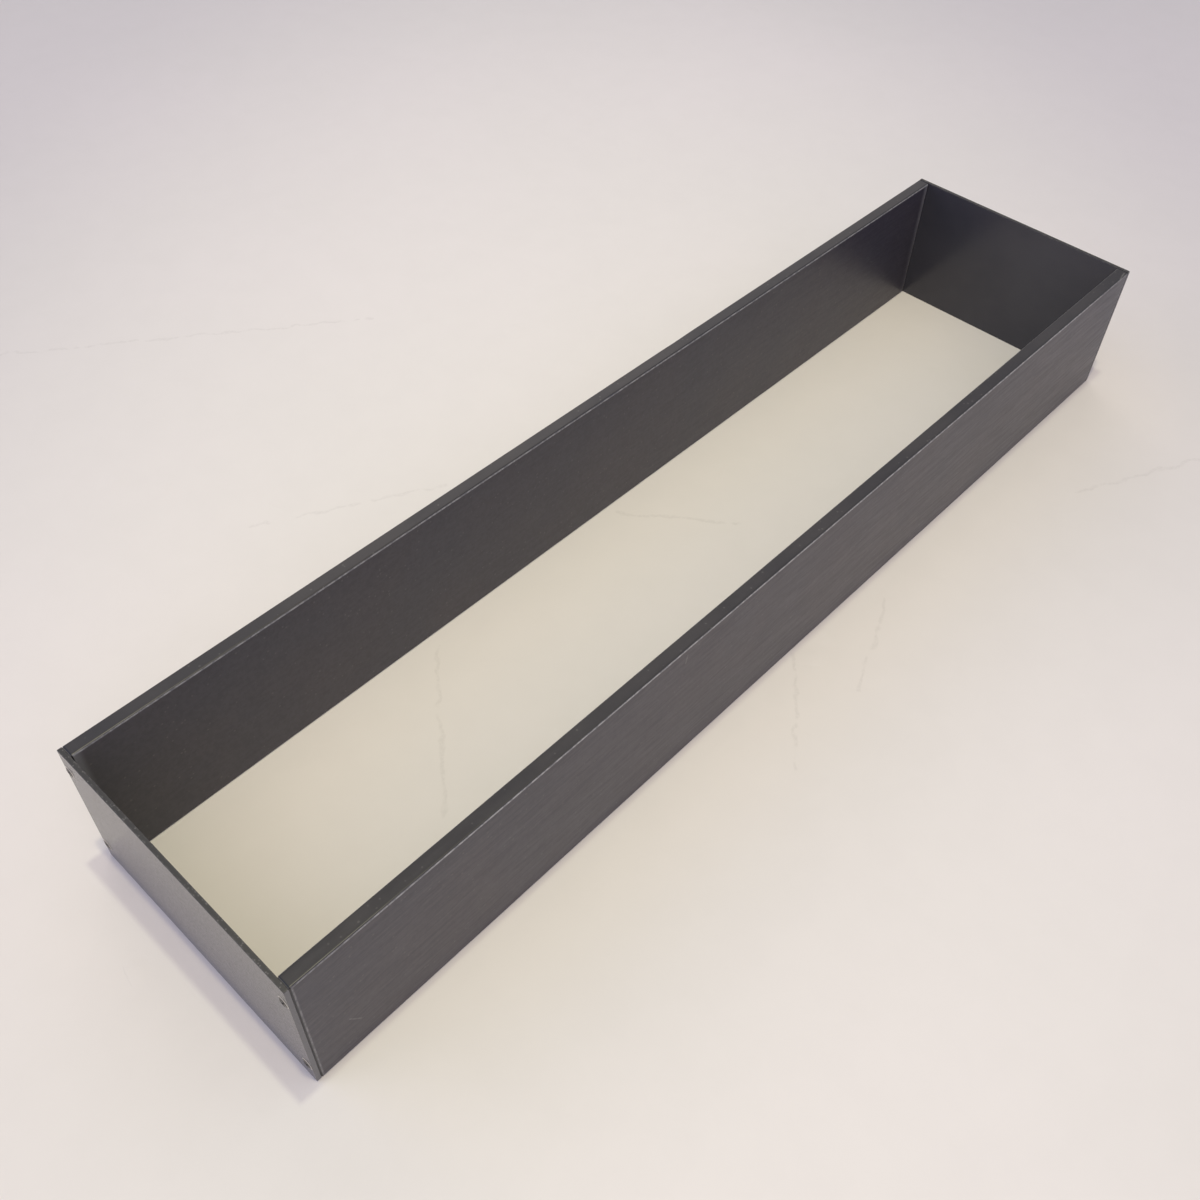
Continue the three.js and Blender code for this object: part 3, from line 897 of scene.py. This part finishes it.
def screw_tree():
    """One raised countersunk screw with a cross recess, set at all eight places."""
    tree = bpy.data.node_groups.new("Plate screws", "GeometryNodeTree")
    wanted = [("Geometry", "Geometry")] + [(name, "Float") for name in SCREW_SIZES]
    wanted += [("Turn Seed", "Int"), ("Finish", "Material")]
    for name, kind in wanted:
        tree.interface.new_socket(name=name, in_out="INPUT", socket_type="NodeSocket" + kind)
    tree.interface.new_socket(name="Geometry", in_out="OUTPUT", socket_type="NodeSocketGeometry")
    size = place(tree, "NodeGroupInput").outputs

    def settle(kind, values=None, **settings):
        made = place(tree, kind, **settings)
        for key, value in (values or {}).items():
            feed(tree, made.inputs[key], value)
        return made

    def height_and_radius():
        spot = parts_of(tree, settle("GeometryNodeInputPosition").outputs[0])
        square = plus(tree, times(tree, spot[0], spot[0]), times(tree, spot[1], spot[1]))
        return spot[2], reckon(tree, "SQRT", square)

    def upwards(z):
        return from_parts(tree, z=z)

    def solid_of(operation, first, second):
        """A Boolean of two solids: both in the list, or the second taken out of the first."""
        made = settle("GeometryNodeMeshBoolean", operation=operation, solver="EXACT")
        key = "Mesh 1" if operation == "DIFFERENCE" else "Mesh 2"
        tree.links.new(first, made.inputs[key])
        tree.links.new(second, made.inputs["Mesh 2"])
        return made.outputs[0]

    head_radius = over(tree, size["Head Diameter"], 2.0)
    shank_radius = over(tree, size["Shank Diameter"], 2.0)
    cone_depth = minus(tree, head_radius, shank_radius)
    rim_low = times(tree, size["Rim Height"], -1.0)

    # Head: a countersunk cone, raised by its rim and domed over the top.
    cone = settle("GeometryNodeMeshCone", {
        "Vertices": HEAD_FACETS, "Side Segments": 1, "Fill Segments": HEAD_CAP_RINGS,
        "Radius Top": head_radius, "Radius Bottom": shank_radius, "Depth": cone_depth,
    }, fill_type="NGON")
    lowered = settle("GeometryNodeTransform", {
        "Geometry": cone.outputs["Mesh"], "Translation": upwards(minus(tree, rim_low, cone_depth)),
    })
    rim = settle("GeometryNodeExtrudeMesh", {
        "Mesh": lowered.outputs[0], "Selection": cone.outputs["Top"],
        "Offset": upwards(size["Rim Height"]), "Offset Scale": 1.0, "Individual": False,
    }, mode="FACES")
    z, radius = height_and_radius()
    fraction = over(tree, radius, head_radius)
    fall = minus(tree, 1.0, times(tree, fraction, fraction))
    head = settle("GeometryNodeSetPosition", {
        "Geometry": rim.outputs["Mesh"],
        "Selection": reckon(tree, "GREATER_THAN", z, -FACE_TOLERANCE),
        "Offset": upwards(times(tree, size["Dome Height"], fall)),
    })

    # Shank: a cylinder whose lower cap is drawn out to a point.
    shank_length = minus(tree, size["Screw Length"], size["Tip Length"])
    cylinder = settle("GeometryNodeMeshCylinder", {
        "Vertices": SHANK_FACETS, "Side Segments": 1, "Fill Segments": SHANK_CAP_RINGS,
        "Radius": shank_radius, "Depth": minus(tree, shank_length, SHANK_IN_HEAD),
    }, fill_type="NGON")
    sunk = settle("GeometryNodeTransform", {
        "Geometry": cylinder.outputs["Mesh"],
        "Translation": upwards(times(tree, plus(tree, shank_length, SHANK_IN_HEAD), -0.5)),
    })
    z, radius = height_and_radius()
    draw = minus(tree, over(tree, radius, shank_radius), 1.0)
    cap_top = plus(tree, times(tree, shank_length, -1.0), FACE_TOLERANCE)
    shank = settle("GeometryNodeSetPosition", {
        "Geometry": sunk.outputs[0], "Selection": reckon(tree, "LESS_THAN", z, cap_top),
        "Offset": upwards(times(tree, size["Tip Length"], draw)),
    })
    whole = solid_of("UNION", head.outputs[0], shank.outputs[0])

    # Cross recess: two slots held within a cone that narrows towards the floor.
    recess_height = plus(tree, size["Recess Depth"], size["Slot Width"])
    floor = minus(tree, size["Dome Height"], size["Recess Depth"])
    narrowing = minus(tree, size["Recess Span"], size["Recess Floor Span"])
    slope = over(tree, narrowing, size["Recess Depth"])
    mouth = plus(tree, size["Recess Floor Span"], times(tree, slope, recess_height))
    well = settle("GeometryNodeMeshCone", {
        "Vertices": RECESS_FACETS, "Side Segments": 1, "Fill Segments": 1,
        "Radius Top": over(tree, mouth, 2.0), "Depth": recess_height,
        "Radius Bottom": over(tree, size["Recess Floor Span"], 2.0),
    }, fill_type="NGON")
    well = settle("GeometryNodeTransform", {
        "Geometry": well.outputs["Mesh"], "Translation": upwards(floor),
    })
    wide, tall = times(tree, mouth, 2.0), times(tree, recess_height, RECESS_ARM_REACH)
    blocks = [(wide, size["Slot Width"], tall), (size["Slot Width"], wide, tall)]
    arms = [settle("GeometryNodeMeshCube", {"Size": from_parts(tree, *block)}).outputs["Mesh"]
            for block in blocks]
    cross = solid_of("INTERSECT", well.outputs[0], solid_of("UNION", *arms))
    screw = solid_of("DIFFERENCE", whole, cross)

    # The head faces +X, and each point keeps its place on the screw for the finish.
    laid = settle("GeometryNodeTransform", {
        "Geometry": screw, "Rotation": (0.0, math.pi / 2, 0.0),
    })
    kept = settle("GeometryNodeStoreNamedAttribute", {
        "Geometry": laid.outputs[0], "Name": "screw_place",
        "Value": settle("GeometryNodeInputPosition").outputs[0],
    }, data_type="FLOAT_VECTOR", domain="POINT")

    # Eight places: two ends, two sides, two rows.
    number = settle("GeometryNodeInputIndex").outputs[0]
    end = reckon(tree, "MODULO", number, 2.0)
    side = reckon(tree, "MODULO", reckon(tree, "FLOOR", over(tree, number, 2.0)), 2.0)
    row = reckon(tree, "FLOOR", over(tree, number, 4.0))

    def mirrored(which, reach):
        return times(tree, minus(tree, times(tree, which, 2.0), 1.0), reach)

    rise = times(tree, row, minus(tree, size["High Row"], size["Low Row"]))
    spot = from_parts(
        tree, mirrored(end, size["Half Length"]), mirrored(side, size["Panel Y"]),
        plus(tree, size["Low Row"], rise))
    points = settle("GeometryNodePoints", {"Count": len(SCREWS), "Position": spot})
    turn = settle("FunctionNodeRandomValue", data_type="FLOAT")
    turn.inputs[2].default_value, turn.inputs[3].default_value = 0.0, math.pi / 2
    feed(tree, turn.inputs["Seed"], size["Turn Seed"])
    about = from_parts(
        tree, turn.outputs[1], None, times(tree, minus(tree, 1.0, end), math.pi))
    placed = settle("GeometryNodeInstanceOnPoints", {
        "Points": points.outputs[0], "Instance": kept.outputs[0], "Rotation": about,
    })
    real = settle("GeometryNodeRealizeInstances", {"Geometry": placed.outputs[0]})
    given = settle("GeometryNodeSetMaterial", {
        "Geometry": real.outputs[0], "Material": size["Finish"],
    })
    tree.links.new(given.outputs[0], place(tree, "NodeGroupOutput").inputs[0])
    return tree


def plate_screws(finish):
    holder = add_object("plate_screws", bpy.data.meshes.new("plate_screws"))
    plate_low, plate_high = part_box("end_plate_rear")
    panel_low, panel_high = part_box("side_panel_left")
    sizes = dict(zip(SCREW_SIZES, (
        HEAD_DIAMETER, HEAD_DOME_HEIGHT - HEAD_DOME_TRIM, HEAD_RIM_HEIGHT, SCREW_SHANK_DIAMETER,
        SCREW_LENGTH, SCREW_TIP_LENGTH, RECESS_SPAN, RECESS_FLOOR_SPAN, RECESS_SLOT_WIDTH,
        RECESS_DEPTH, plate_high.x, (panel_low.y + panel_high.y) / 2,
        plate_low.z + SCREW_FROM_EDGE, plate_high.z - SCREW_FROM_EDGE,
    )))
    sizes.update({"Turn Seed": SCREW_TURN_SEED, "Finish": finish})
    grown = holder.modifiers.new("screws", "NODES")
    grown.node_group = screw_tree()
    for item in grown.node_group.interface.items_tree:
        if item.in_out == "INPUT" and item.name in sizes:
            grown[item.identifier] = sizes[item.name]
    keep_result(holder)
    if not holder.data.materials:
        holder.data.materials.append(finish)
    soften(holder.data, SCREW_CREASE)
    return holder


foil = grained_foil()
paint = painted_sheet()
plating = screw_metal()

for name in PANELS:
    panel = side_panel(name, foil)
    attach(panel, "root")
    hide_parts(name)

for name in PLATES:
    plate = end_plate(name, paint)
    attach(plate, "root")
    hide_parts(name)

screws = plate_screws(plating)
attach(screws, "root")
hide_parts(*SCREWS)


# Studio

FLOOR_HALF_SIZE, FLOOR_SEGMENTS = 3.0, 24

# Lamps over the object: name, place, power, colour.
LAMPS = [
    ("overhead lamp", (-0.041, -0.013, 1.40), 3.77, (0.971, 1.0, 0.719)),
    ("side lamp", (-0.18, -0.126, 1.40), 4.70, (1.0, 0.894, 0.609)),
]
LAMP_SIZE = 0.045

# Broad soft lights of the room: turn from +X, height and spread in degrees, colour.
SKY_LIGHTS = [
    (135, 10, 30, (2.04, 1.57, 1.38)),
    (135, 32, 52, (0.11, 0.28, 0.77)),
    (180, 32, 52, (0.00, 0.08, 0.04)),
    (225, 32, 52, (0.58, 0.54, 0.74)),
    (270, 32, 52, (0.00, 0.00, 0.15)),
    (315, 32, 52, (0.16, 0.23, 0.27)),
    (0, 32, 52, (0.20, 0.20, 0.24)),
    (60, 36, 25, (0.84, 0.79, 0.77)),
    (52, 22, 34, (0.60, 0.56, 0.54)),
    (225, 72, 50, (1.00, 0.85, 0.62)),
]
SKY_FULL_SHARE = 0.3
PALE_WALLS = (0.15, 0.15, 0.15)
WALL_BAND = (0.12, 0.30)
PALE_BACKGROUND = (0.66, 0.63, 0.63, 1)

CAMERA_PLACE = (-0.256808, -0.185731, 0.340210)
CAMERA_TURN = (41.522317, -1.422912, -46.828197)
CAMERA_LENS, CAMERA_SENSOR, CAMERA_NEAREST = 37.539386, 36.0, 0.01


def studio_floor():
    bm = bmesh.new()
    bmesh.ops.create_grid(
        bm, x_segments=FLOOR_SEGMENTS, y_segments=FLOOR_SEGMENTS, size=FLOOR_HALF_SIZE)
    mesh_piece("studio_floor", bm, pale_floor())


def lamp(name, spot, power, colour):
    """A small square lamp that faces the middle of the object's foot."""
    light = bpy.data.lights.new(name, "AREA")
    light.shape = "RECTANGLE"
    light.size = light.size_y = LAMP_SIZE
    light.energy = power
    light.color = colour
    holder = add_object(name, light)
    holder.location = spot
    holder.rotation_euler = (-Vector(spot)).to_track_quat("-Z", "Y").to_euler()


def studio_sky():
    """A dim room round the floor, with pale walls low down and broad soft lights above them."""
    world = bpy.data.worlds.new("Studio")
    world.use_nodes = True
    tree = world.node_tree
    background = tree.nodes["Background"]
    outward = place(tree, "ShaderNodeTexCoord").outputs["Generated"]
    level = reckon(tree, "ABSOLUTE", parts_of(tree, outward)["Z"])
    wall = ramp(tree, level, *WALL_BAND, 1.0, 0.0)
    total = scaled(tree, PALE_WALLS, wall)
    for turn, height, spread, colour in SKY_LIGHTS:
        turn, height, spread = (math.radians(a) for a in (turn, height, spread))
        flat = math.cos(height)
        centre = (math.cos(turn) * flat, math.sin(turn) * flat, math.sin(height))
        near = vectors(tree, "DOT_PRODUCT", outward, centre)
        share = ramp(tree, near, math.cos(spread), math.cos(spread * SKY_FULL_SHARE))
        total = vectors(tree, "ADD", total, scaled(tree, colour, share))
    ray = place(tree, "ShaderNodeLightPath").outputs
    mirrored = reckon(tree, "MAXIMUM", ray["Is Glossy Ray"], ray["Is Transmission Ray"])
    seen = reckon(tree, "MAXIMUM", ray["Is Camera Ray"], times(tree, mirrored, wall))
    feed(tree, background.inputs["Color"], tint(tree, seen, total, PALE_BACKGROUND))
    background.inputs["Strength"].default_value = 1.0
    return world


studio_floor()
for values in LAMPS:
    lamp(*values)
bpy.context.scene.world = studio_sky()

view = bpy.data.cameras.new("photo view")
view.sensor_width = CAMERA_SENSOR
view.lens = CAMERA_LENS
view.clip_start = CAMERA_NEAREST
camera = add_object("photo view", view)
camera.location = CAMERA_PLACE
camera.rotation_euler = [math.radians(a) for a in CAMERA_TURN]
bpy.context.scene.camera = camera
bpy.context.scene.view_settings.view_transform = "Standard"
